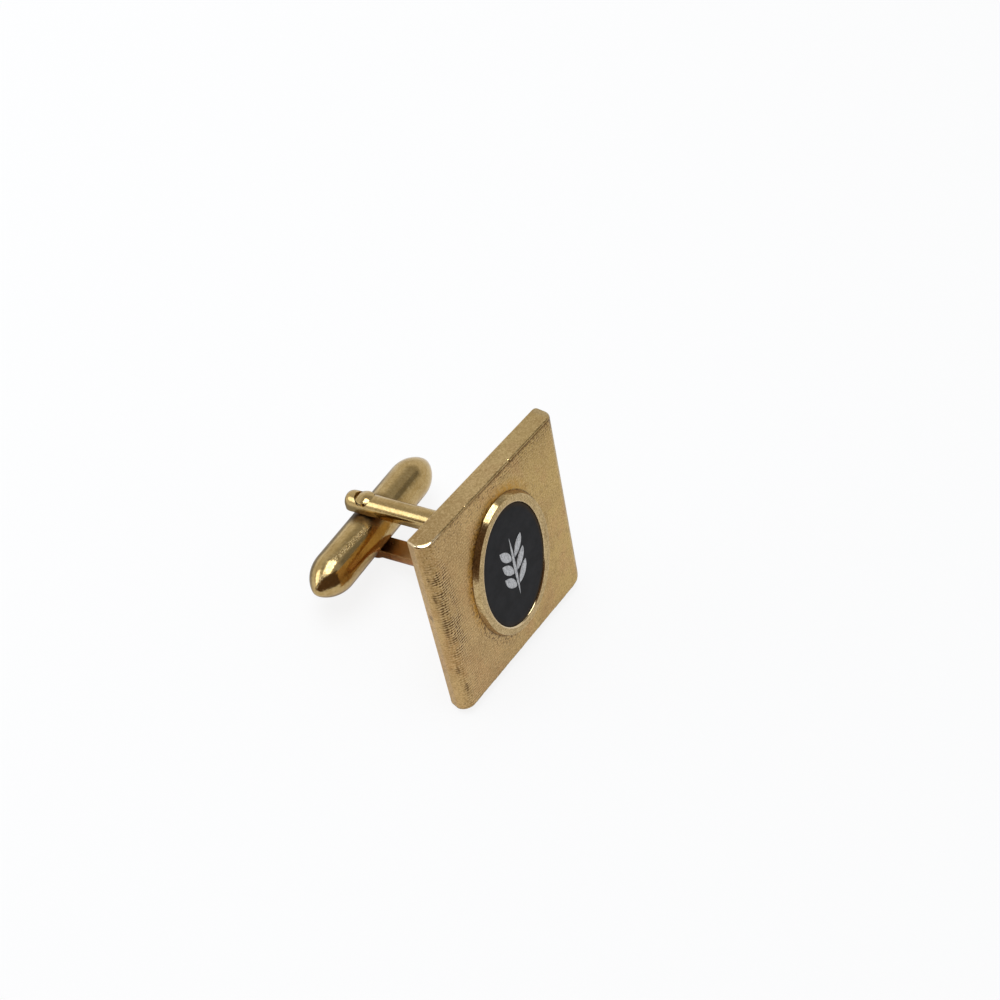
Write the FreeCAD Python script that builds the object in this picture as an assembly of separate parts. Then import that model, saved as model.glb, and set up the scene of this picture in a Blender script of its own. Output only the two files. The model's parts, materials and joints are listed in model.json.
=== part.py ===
import FreeCAD, Part
import math
import os

Vector = FreeCAD.Vector

# Cufflink with a swivelling bullet toggle, in millimetres. It is drawn upright first, with the origin at the
# middle of the front face, X to the right, Y to the back and Z up, and is then laid as it rests on a table.

# Face plate
face_width = 18.4
face_height = 19.2
face_thickness = 2.0
side_round = 1.1        # radius of the roll from each side to the front
side_draft = 0.25       # how far each side closes in towards the back
edge_break = 0.15       # bevel around the flat top and bottom, all but the back edge

# Oval bezel and inlay
bezel_width = 10.3
bezel_height = 14.6
bezel_rim = 0.95
bezel_rise = 0.5        # rim above the face
bezel_break = 0.1       # bevel of the rim's outer edge
inlay_sink = 0.12       # inlay below the rim
inlay_seat = 0.7        # pocket for the inlay in the face
inlay_gap = 0.02        # cement line around the inlay

# Leaf sprig let into the inlay
stem_width = 0.34
stem_foot = 1.2         # stem below the lowest leaves
stem_point = 2.4        # stem above the roots of the highest leaves
leaf_length = 2.2
leaf_width = 0.86
leaf_pairs = 3
leaf_angle = 36.0       # degrees from the stem
leaf_spacing = 0.02     # between the flanks of neighbouring leaves at their widest
leaf_gap = 0.06         # inlay left between a leaf and the stem
motif_depth = 0.2
motif_rise = 0.03       # sprig above the inlay

# Toggle
toggle_diameter = 3.9
toggle_length = 18.2
toggle_wall = 0.45
tip_length = 3.0
tip_nose = 0.9          # radius of the blunt nose of each tip
spigot_length = 2.0     # part of each tip pressed into the barrel

# Fork
pivot_reach = 12.3      # from the back of the face to the pin
post_set = 5.5          # degrees that the fork stands off square, to the left
arm_width = 1.9
arm_side = 0.5          # flat side under the half-round of an arm
arm_overhang = 1.05     # from the pin to the middle of an arm's rounded end
arm_clearance = 0.1     # between an arm and the toggle
foot_width = 3.2
foot_thickness = 0.9
foot_margin = 0.5       # foot beyond the outside of each arm
foot_corner = 0.8
foot_seat = 0.2         # foot let into the back of the face, also its floor under the arms
foot_gap = 0.02         # solder line around the foot

# Pin
pin_diameter = 1.3
pin_clearance = 0.04    # running fit in the barrel, on the radius
pin_square = 0.9        # across the flats of the squared middle
square_margin = 0.1     # squared length beyond each edge of the spring
head_diameter = 1.76
head_thickness = 0.45
head_sink = 0.1         # head below the crown of an arm
head_gap = 0.04         # around a head in its spot face

# Detent spring
spring_thickness = 0.25
spring_clearance = 0.02  # between a leaf and its flat on the pin
spring_side_gap = 0.19  # between the edges of the strip and the bore, room for the leaves to spread
spring_end_gap = 0.1

# Worked out from the sizes above
face_bottom = -face_height / 2
foot_front = face_thickness - foot_seat
bezel_top = -bezel_rise
inlay_top = bezel_top + inlay_sink
leaf_pitch = (leaf_width + leaf_spacing) / math.sin(math.radians(leaf_angle))
lowest_leaf = -leaf_pitch * leaf_pairs / 2
toggle_radius = toggle_diameter / 2
bore_radius = toggle_radius - toggle_wall
spring_inner = pin_square / 2 + spring_clearance
spring_outer = spring_inner + spring_thickness
spring_width = 2 * math.sqrt((bore_radius - spring_side_gap) ** 2 - spring_outer ** 2)
square_length = spring_width + 2 * square_margin
barrel_length = toggle_length - 2 * tip_length
arm_inside = toggle_radius + arm_clearance
arm_round = arm_width / 2
arm_shoulder = arm_inside + arm_side
arm_crown = arm_shoulder + arm_round
pin_radius = pin_diameter / 2
head_radius = head_diameter / 2
head_top = arm_crown - head_sink
head_seat = head_top - head_thickness


def ellipse_prism(width, height, y_front, y_back):
    """Upright oval slab between two distances from the front face."""
    curve = Part.Ellipse(Vector(0, 0, 0), max(width, height) / 2, min(width, height) / 2)
    face = Part.Face(Part.Wire(curve.toShape()))
    if height > width:
        face.rotate(Vector(0, 0, 0), Vector(0, 0, 1), 90)
    face.rotate(Vector(0, 0, 0), Vector(1, 0, 0), 90)
    face.translate(Vector(0, y_front, 0))
    return face.extrude(Vector(0, y_back - y_front, 0))


def disc(radius, z_low, z_high):
    """Round slab about the pin axis."""
    return Part.makeCylinder(radius, z_high - z_low, Vector(0, 0, z_low))


def face_section(inset, z):
    """Outline of the plate seen from above, its front and sides drawn in by an inset."""
    shoulder = face_width / 2 - side_round
    roll = side_round - inset
    slant = roll * math.sqrt(0.5)
    side_x = shoulder + roll
    back_x = side_x - side_draft
    front_left = Vector(-shoulder, inset, z)
    front_right = Vector(shoulder, inset, z)
    side_left = Vector(-side_x, side_round, z)
    side_right = Vector(side_x, side_round, z)
    back_left = Vector(-back_x, face_thickness, z)
    back_right = Vector(back_x, face_thickness, z)
    return Part.Wire([
        Part.makeLine(front_left, front_right),
        Part.Arc(front_right, Vector(shoulder + slant, side_round - slant, z), side_right).toShape(),
        Part.makeLine(side_right, back_right),
        Part.makeLine(back_right, back_left),
        Part.makeLine(back_left, side_left),
        Part.Arc(side_left, Vector(-shoulder - slant, side_round - slant, z), front_left).toShape(),
    ])


def make_face_plate():
    """Slab with rolled sides, bevelled in at the flat top and bottom."""
    face_top = -face_bottom
    sections = [
        face_section(edge_break, face_bottom),
        face_section(0, face_bottom + edge_break),
        face_section(0, face_top - edge_break),
        face_section(edge_break, face_top),
    ]
    return Part.makeLoft(sections, True, True)


def make_bezel_ring():
    """Oval rim on the face, bevelled around its outer edge."""
    block = ellipse_prism(bezel_width, bezel_height, bezel_top, 0)
    rim_edges = [edge for edge in block.Edges if edge.BoundBox.YMax < bezel_top + 1e-4]
    return block.makeChamfer(bezel_break, rim_edges).cut(inlay_space(0, bezel_top, 0))


def inlay_space(gap, y_front, y_back):
    """Oval inside the rim, drawn in by a gap."""
    inset = 2 * (bezel_rim + gap)
    return ellipse_prism(bezel_width - inset, bezel_height - inset, y_front, y_back)


def pointed_blade(length, width):
    """Upright blade of two arcs, from its lower point at the origin, let into the inlay."""
    low = Vector(0, 0, 0)
    high = Vector(0, 0, length)
    right = Part.Arc(low, Vector(width / 2, 0, length / 2), high).toShape()
    left = Part.Arc(high, Vector(-width / 2, 0, length / 2), low).toShape()
    blade = Part.Face(Part.Wire([right, left])).extrude(Vector(0, motif_depth + motif_rise, 0))
    blade.translate(Vector(0, inlay_top - motif_rise, 0))
    return blade


def make_stem():
    """Slender upright blade in the middle of the inlay."""
    stem_length = stem_foot + leaf_pitch * (leaf_pairs - 1) + stem_point
    stem = pointed_blade(stem_length, stem_width)
    stem.translate(Vector(0, 0, lowest_leaf - stem_foot))
    return stem


def make_leaves():
    """Pairs of leaves that branch upwards from the stem, as separate inlays."""
    leaves = []
    aside = stem_width / 2 + leaf_gap
    for pair in range(leaf_pairs):
        for side in (-1, 1):
            leaf = pointed_blade(leaf_length, leaf_width)
            leaf.rotate(Vector(0, 0, 0), Vector(0, 1, 0), side * leaf_angle)
            leaf.translate(Vector(side * aside, 0, lowest_leaf + pair * leaf_pitch))
            leaves.append(leaf)
    return leaves


def make_arm(side):
    """Half-round arm from the face to past the pin, above (side 1) or below (side -1) the toggle."""
    inside_left = Vector(-arm_round, arm_overhang, arm_inside)
    inside_right = Vector(arm_round, arm_overhang, arm_inside)
    shoulder_left = Vector(-arm_round, arm_overhang, arm_shoulder)
    shoulder_right = Vector(arm_round, arm_overhang, arm_shoulder)
    outline = Part.Wire([
        Part.makeLine(inside_left, inside_right),
        Part.makeLine(inside_right, shoulder_right),
        Part.Arc(shoulder_right, Vector(0, arm_overhang, arm_crown), shoulder_left).toShape(),
        Part.makeLine(shoulder_left, inside_left),
    ])
    bar = Part.Face(outline).extrude(Vector(0, -arm_overhang - 2 * pivot_reach, 0))
    round_end = Part.makeCylinder(arm_round, arm_side, Vector(0, arm_overhang, arm_inside))
    dome = Part.makeSphere(arm_round, Vector(0, arm_overhang, arm_shoulder), Vector(0, 0, 1), 0, 90)
    arm = bar.fuse([round_end, dome]).removeSplitter()
    arm = arm.cut(disc(pin_radius, arm_inside, arm_crown))
    arm = arm.cut(disc(head_radius + head_gap, head_seat, arm_crown))
    if side < 0:
        arm.rotate(Vector(0, 0, 0), Vector(0, 1, 0), 180)
    return arm


def foot_block(gap, y_back):
    """Upright pad with rounded corners, from the bottom of its seat backwards, grown by a gap."""
    width = foot_width + 2 * gap
    depth = y_back - foot_front
    height = 2 * (arm_crown + foot_margin + gap)
    pad = Part.makeBox(width, depth, height, Vector(-width / 2, foot_front, -height / 2))
    corners = [edge for edge in pad.Edges if abs(edge.BoundBox.YLength - depth) < 1e-4]
    return pad.makeFillet(foot_corner + gap, corners)


def make_pin():
    """Pin with a head at each end and a squared middle."""
    square = Part.makeBox(
        pin_square, pin_square, square_length, Vector(-pin_square / 2, -pin_square / 2, -square_length / 2)
    )
    pin = disc(pin_radius, -square_length / 2, square_length / 2).common(square)
    for side in (-1, 1):
        shank = disc(pin_radius, square_length / 2, head_seat)
        head = disc(head_radius, head_seat, head_top)
        end = shank.fuse(head)
        if side < 0:
            end.rotate(Vector(0, 0, 0), Vector(1, 0, 0), 180)
        pin = pin.fuse(end)
    return pin


def along_x(radius, x_low, x_high):
    """Round bar along the toggle."""
    return Part.makeCylinder(radius, x_high - x_low, Vector(x_low, 0, 0), Vector(1, 0, 0))


def make_barrel():
    """Tube with a hole across it for the pin."""
    half = barrel_length / 2
    tube = along_x(toggle_radius, -half, half).cut(along_x(bore_radius, -half, half))
    return tube.cut(disc(pin_radius + pin_clearance, -toggle_radius, toggle_radius))


def make_cap(side):
    """Bullet tip with a spigot, at the right (side 1) or left (side -1) end of the barrel.

    The tip is an arc that leaves the barrel smoothly and runs smoothly into the round nose.
    """
    root = barrel_length / 2
    nose_back = tip_length - tip_nose
    flank = (nose_back ** 2 + toggle_radius ** 2 - tip_nose ** 2) / (2 * (toggle_radius - tip_nose))
    drop = flank - toggle_radius
    nose_angle = math.atan2(drop, nose_back)
    half_angle = (math.pi / 2 + nose_angle) / 2
    shoulder = Vector(root, toggle_radius, 0)
    flank_middle = Vector(root + flank * math.cos(half_angle), flank * math.sin(half_angle) - drop, 0)
    flank_end = Vector(root + flank * math.cos(nose_angle), flank * math.sin(nose_angle) - drop, 0)
    nose_middle = Vector(
        root + nose_back + tip_nose * math.cos(nose_angle / 2), tip_nose * math.sin(nose_angle / 2), 0
    )
    nose = Vector(root + tip_length, 0, 0)
    spigot_back = Vector(root - spigot_length, 0, 0)
    spigot_edge = Vector(root - spigot_length, bore_radius, 0)
    spigot_root = Vector(root, bore_radius, 0)
    outline = Part.Wire([
        Part.makeLine(spigot_back, spigot_edge),
        Part.makeLine(spigot_edge, spigot_root),
        Part.makeLine(spigot_root, shoulder),
        Part.Arc(shoulder, flank_middle, flank_end).toShape(),
        Part.Arc(flank_end, nose_middle, nose).toShape(),
        Part.makeLine(nose, spigot_back),
    ])
    cap = Part.Face(outline).revolve(Vector(0, 0, 0), Vector(1, 0, 0), 360)
    if side < 0:
        cap.rotate(Vector(0, 0, 0), Vector(0, 0, 1), 180)
    return cap


def make_spring():
    """Hairpin of flat strip around the pin, with its bend at the left."""
    inner = spring_inner
    outer = spring_outer
    free_end = barrel_length / 2 - spigot_length - spring_end_gap
    bend = -free_end + outer
    low = -spring_width / 2
    blank = Part.makeCylinder(outer, spring_width, Vector(bend, 0, low))
    blank = blank.fuse(Part.makeBox(free_end - bend, 2 * outer, spring_width, Vector(bend, -outer, low)))
    slot = Part.makeCylinder(inner, spring_width, Vector(bend, 0, low))
    slot = slot.fuse(Part.makeBox(free_end - bend, 2 * inner, spring_width, Vector(bend, -inner, low)))
    return blank.cut(slot).removeSplitter()


def set_behind_face(shape):
    """Places a piece drawn about the pin, with the fork along Y, behind the face."""
    shape.translate(Vector(0, pivot_reach, 0))
    shape.rotate(Vector(0, 0, 0), Vector(0, 0, 1), post_set)
    shape.translate(Vector(0, face_thickness, 0))


def cut_at_back(arm):
    """Trims the root of an arm level with the back of the face."""
    span = 4 * (face_width + face_height + pivot_reach)
    front_room = Part.makeBox(span, span, span, Vector(-span / 2, face_thickness - span, -span / 2))
    return arm.cut(front_room)


# Back of the cufflink, drawn about the pin and then set behind the face
back_pieces = {
    "upper_arm": make_arm(1),
    "lower_arm": make_arm(-1),
    "pivot_pin": make_pin(),
    "toggle_barrel": make_barrel(),
    "toggle_cap_left": make_cap(-1),
    "toggle_cap_right": make_cap(1),
    "detent_spring": make_spring(),
}
for piece in back_pieces.values():
    set_behind_face(piece)
for name in ("upper_arm", "lower_arm"):
    back_pieces[name] = cut_at_back(back_pieces[name])

# Foot, square to the face, with a blind socket for the root of each arm
foot = foot_block(0, face_thickness + foot_thickness)
back_pieces["fork_foot"] = foot.cut([back_pieces["upper_arm"], back_pieces["lower_arm"]])

# Front of the cufflink
stem = make_stem()
leaves = make_leaves()
pocket = inlay_space(0, 0, inlay_seat)
recess = foot_block(foot_gap, face_thickness)
front_pieces = {
    "face_plate": make_face_plate().cut([pocket, recess]),
    "bezel_ring": make_bezel_ring(),
    "inlay": inlay_space(inlay_gap, inlay_top, inlay_seat).cut([stem] + leaves),
    "motif_stem": stem,
    "motif_leaves": Part.makeCompound(leaves),
}
pieces = {**front_pieces, **back_pieces}

# Leaned back until the face's lower back edge and the rounded end of the lower arm both touch the table
turn = math.radians(post_set)
pivot = Vector(-pivot_reach * math.sin(turn), face_thickness + pivot_reach * math.cos(turn), 0)
lower_edge = Vector(0, face_thickness, face_bottom)
end_back = (pivot_reach + arm_overhang) * math.cos(turn)
end_up = -arm_shoulder - face_bottom
lean = math.atan2(end_up, end_back) - math.asin(arm_round / math.hypot(end_back, end_up))
laid = FreeCAD.Placement(lower_edge * -1, FreeCAD.Rotation())
laid = FreeCAD.Placement(Vector(0, 0, 0), FreeCAD.Rotation(Vector(1, 0, 0), -math.degrees(lean))) * laid

# Origin on the table, under the middle of the bounding box
together = Part.makeCompound([piece.copy() for piece in pieces.values()])
together.Placement = laid * together.Placement
box = together.optimalBoundingBox(False, False)
middle = Vector((box.XMin + box.XMax) / 2, (box.YMin + box.YMax) / 2, 0)
laid = FreeCAD.Placement(middle * -1, FreeCAD.Rotation()) * laid

os.makedirs("parts", exist_ok=True)
for name, piece in pieces.items():
    piece.Placement = laid * piece.Placement
    piece.exportStep("parts/" + name + ".step")

print("lean", round(math.degrees(lean), 3), "degrees")
print("pivot", laid.multVec(pivot), "axis", laid.Rotation.multVec(Vector(0, 0, 1)))
print("front face", laid.multVec(Vector(0, 0, 0)), "back normal", laid.Rotation.multVec(Vector(0, 1, 0)))
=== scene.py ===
import json
import math

import bmesh
import bpy
import numpy as np
from mathutils import Matrix


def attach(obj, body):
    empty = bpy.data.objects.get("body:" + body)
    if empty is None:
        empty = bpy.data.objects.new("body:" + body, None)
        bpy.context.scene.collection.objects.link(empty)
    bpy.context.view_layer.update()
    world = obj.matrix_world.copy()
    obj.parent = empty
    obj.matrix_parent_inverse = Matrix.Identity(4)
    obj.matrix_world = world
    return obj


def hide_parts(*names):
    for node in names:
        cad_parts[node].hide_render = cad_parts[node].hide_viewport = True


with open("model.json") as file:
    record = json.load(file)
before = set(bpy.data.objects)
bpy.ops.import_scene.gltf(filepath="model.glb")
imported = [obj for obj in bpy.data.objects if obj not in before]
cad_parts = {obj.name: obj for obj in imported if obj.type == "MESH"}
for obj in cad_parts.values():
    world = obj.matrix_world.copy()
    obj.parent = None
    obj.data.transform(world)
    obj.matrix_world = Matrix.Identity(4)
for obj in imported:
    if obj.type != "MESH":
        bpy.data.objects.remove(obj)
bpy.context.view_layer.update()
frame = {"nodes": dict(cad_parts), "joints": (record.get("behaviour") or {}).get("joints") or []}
print("frame loaded with", len(frame["nodes"]), "nodes")

millimetre = 0.001  # in metres
mergeDistance = 2e-7  # metres

# Two turned frames in millimetres. Plate frame: x right, y back, z up from the middle of the front face.
# Fork frame: the same directions about the pin, turned about z by the set of the fork.
stand = {
    "plateThickness": 2.0,
    "pinReach": 12.3,  # back of the plate to the pin
    "forkSet": 5.5,  # degrees off square, to the left
}
joint = frame["joints"][0]
forkTurn = math.radians(stand["forkSet"])
right = np.array([1.0, 0.0, 0.0])
up = np.array(joint["axis"]) / np.linalg.norm(joint["axis"])
back = np.cross(up, right)
forkRight = right * math.cos(forkTurn) + back * math.sin(forkTurn)
forkBack = back * math.cos(forkTurn) - right * math.sin(forkTurn)
pinMiddle = np.array(joint["pos_m"]) * 1000
faceMiddle = pinMiddle - forkBack * stand["pinReach"] - back * stand["plateThickness"]
plateAxes = np.array([right, back, up])
forkAxes = np.array([forkRight, forkBack, up])


def ontoPlate(points):
    return (faceMiddle + points @ plateAxes) * millimetre


def ontoFork(points):
    return (pinMiddle + points @ forkAxes) * millimetre


def around(steps):
    # One turn in equal steps, as a row
    return np.linspace(0, 2 * math.pi, steps + 1)[None, :]


def addObject(name, data):
    item = bpy.data.objects.new(name, data)
    bpy.context.scene.collection.objects.link(item)
    return item


def gridQuads(grid, start=0):
    # Four neighbours in a grid share a quad
    rows, columns = grid.shape[:2]
    index = np.arange(start, start + rows * columns).reshape(rows, columns)
    quads = np.stack([index[:-1, :-1], index[:-1, 1:], index[1:, 1:], index[1:, :-1]], axis=-1)
    return index, quads.reshape(-1, 4).tolist()


# Grids become one mesh, in which points that fall together are merged. That closes seams and poles.
# Capped grids get a flat polygon on the first and last row.
def buildPiece(name, grids, finish, body, nodes, crease=38.0, capped=False, wear=None):
    points = []
    faces = []
    start = 0
    for grid in grids:
        index, quads = gridQuads(grid, start)
        faces += quads
        if capped:
            faces += [index[0, :-1].tolist(), index[-1, :-1].tolist()]
        points.append(grid.reshape(-1, 3))
        start += index.size
    mesh = bpy.data.meshes.new(name)
    mesh.from_pydata(np.concatenate(points).tolist(), [], faces)
    if wear is not None:
        mark = mesh.attributes.new("edgeWear", "FLOAT", "POINT")
        mark.data.foreach_set("value", wear.astype(np.float32).ravel())
    work = bmesh.new()
    work.from_mesh(mesh)
    bmesh.ops.remove_doubles(work, verts=work.verts, dist=mergeDistance)
    bmesh.ops.recalc_face_normals(work, faces=work.faces)
    work.to_mesh(mesh)
    work.free()
    mesh.shade_smooth()
    mesh.set_sharp_from_angle(angle=math.radians(crease))
    piece = addObject(name, mesh)
    mesh.materials.append(finish)
    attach(piece, body)
    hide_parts(*nodes)
    print("piece", name, len(mesh.polygons), "faces")


# Short ways to put nodes into a material
def put(tree, kind, links=None, **settings):
    item = tree.nodes.new("ShaderNode" + kind)
    for key, value in settings.items():
        setattr(item, key, value)
    for key, value in (links or {}).items():
        if isinstance(value, bpy.types.NodeSocket):
            tree.links.new(value, item.inputs[key])
        else:
            item.inputs[key].default_value = value
    return item


def calc(tree, operation, first, second=0.0, third=0.0):
    return put(tree, "Math", {0: first, 1: second, 2: third}, operation=operation).outputs[0]


def times(tree, value, *others):
    for other in others:
        value = calc(tree, "MULTIPLY", value, other)
    return value


def timesPlus(tree, first, second, third):
    return calc(tree, "MULTIPLY_ADD", first, second, third)


def most(tree, value, *others):
    for other in others:
        value = calc(tree, "MAXIMUM", value, other)
    return value


def noise(tree, vector, scale, detail=3.0, rough=0.55, distort=0.0):
    links = {"Vector": vector, "Scale": scale, "Detail": detail, "Roughness": rough, "Distortion": distort}
    return put(tree, "TexNoise", links).outputs["Fac"]


def span(tree, value, low, high, toLow=0.0, toHigh=1.0):
    links = {"Value": value, "From Min": low, "From Max": high, "To Min": toLow, "To Max": toHigh}
    return put(tree, "MapRange", links, interpolation_type="SMOOTHSTEP").outputs["Result"]


def tint(tree, amount, first, second):
    return put(tree, "Mix", {0: amount, 6: first, 7: second}, data_type="RGBA").outputs[2]


def stretched(tree, vector, scale, turn=(0.0, 0.0, 0.0)):
    links = {"Vector": vector, "Scale": scale, "Rotation": turn}
    return put(tree, "Mapping", links).outputs["Vector"]


def parted(tree, vector):
    return tuple(put(tree, "SeparateXYZ", {0: vector}).outputs)


def lengthOf(tree, vector):
    return put(tree, "VectorMath", {0: vector}, operation="LENGTH").outputs["Value"]


def ovalReach(tree, at, width, height):
    # 1 on the oval, less inside it and more outside
    return lengthOf(tree, stretched(tree, at, (2 / width, 0.0, 2 / height)))


def placed(tree, middle, axes):
    # Object coordinates turned into a frame's millimetres
    turn = Matrix([list(row) for row in axes.T]).to_euler()
    links = {
        "Vector": put(tree, "TexCoord").outputs["Object"],
        "Location": tuple(middle * millimetre),
        "Rotation": tuple(turn),
        "Scale": (millimetre, millimetre, millimetre),
    }
    return put(tree, "Mapping", links, vector_type="TEXTURE").outputs["Vector"]


def emptyTree(owner):
    owner.use_nodes = True
    owner.node_tree.nodes.clear()
    return owner.node_tree


def startFinish(name):
    finish = bpy.data.materials.new(name)
    tree = emptyTree(finish)
    shader = put(tree, "BsdfPrincipled")
    output = put(tree, "OutputMaterial")
    tree.links.new(shader.outputs["BSDF"], output.inputs["Surface"])
    return finish, tree, shader


def endFinish(tree, shader, look, tone, rough, height, metallic=1.0):
    bump = put(tree, "Bump", {"Strength": look["bump"], "Distance": look["bumpDepth"], "Height": height})
    tree.links.new(tone, shader.inputs["Base Color"])
    tree.links.new(rough, shader.inputs["Roughness"])
    tree.links.new(bump.outputs["Normal"], shader.inputs["Normal"])
    shader.inputs["Metallic"].default_value = metallic


def colour(red, green, blue):
    # Written as on screen, 0 to 255
    parts = np.array([red, green, blue]) / 255
    linear = np.where(parts <= 0.04045, parts / 12.92, ((parts + 0.055) / 1.055) ** 2.4)
    return (*linear.tolist(), 1.0)


bezelSize = (10.3, 14.6)  # mm, width and height
inlaySize = (8.4, 12.7)  # inside the rim
inlayGap = 0.02  # cement line around the inlay
inlaySink = 0.12  # inlay below the rim

# Satin gold with a linen texture: fine lines across and up the face, mottled tone, dirt in the weave on
# the left roll, round the bezel and under the top edge, polished worn edges, and painted shade, highlights and
# reflections
satinGold = {
    "tone": colour(208, 173, 116),
    "warm": colour(206, 174, 105),  # towards the right
    "rosy": colour(204, 159, 104),
    "hushed": colour(190, 168, 122),  # greyer, on the flat ends and on the rim
    "paintedGreyReflection": colour(184, 168, 130),  # painted grey reflection on the right roll
    "paintedWallReflection": colour(196, 146, 54),  # painted amber reflection of the bezel wall beside it
    "deep": colour(148, 116, 68),
    "pale": colour(228, 200, 148),
    "paintedHighlight": colour(238, 216, 178),  # painted highlight on the rubbed corner and the inner lip of the rim
    "dirt": colour(84, 56, 28),
    "brown": colour(98, 64, 16),  # dirt under the top edge
    "thread": 0.265,  # mm between lines
    "flatEnds": (9.3, 9.5),  # mm up or down, over which the flat top and bottom begin
    "wovenEnds": (9.52, 9.44),  # and over which the lines begin
    "backFrom": (1.75, 1.95),  # mm back, over which the lines end
    "frontTo": (0.5, 0.1),  # mm back, over which the flat front begins
    "roughness": 0.40,
    "wornRoughness": 0.16,
    "roughSwing": 0.16,  # by the mottle
    "bump": 0.5,
    "bumpDepth": 0.00002,
    # Stains on the left roll: place across (x - y), height, half width, half height
    "stains": (
        (-9.70, 5.9, 0.20, 0.40),
        (-9.43, 3.8, 0.30, 0.60),
        (-10.5, 1.4, 0.22, 0.30),
        (-9.15, 0.2, 0.42, 1.20),
        (-9.10, -4.7, 0.30, 0.55),
        (-8.55, -7.1, 0.36, 0.70),
    ),
}


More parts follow.
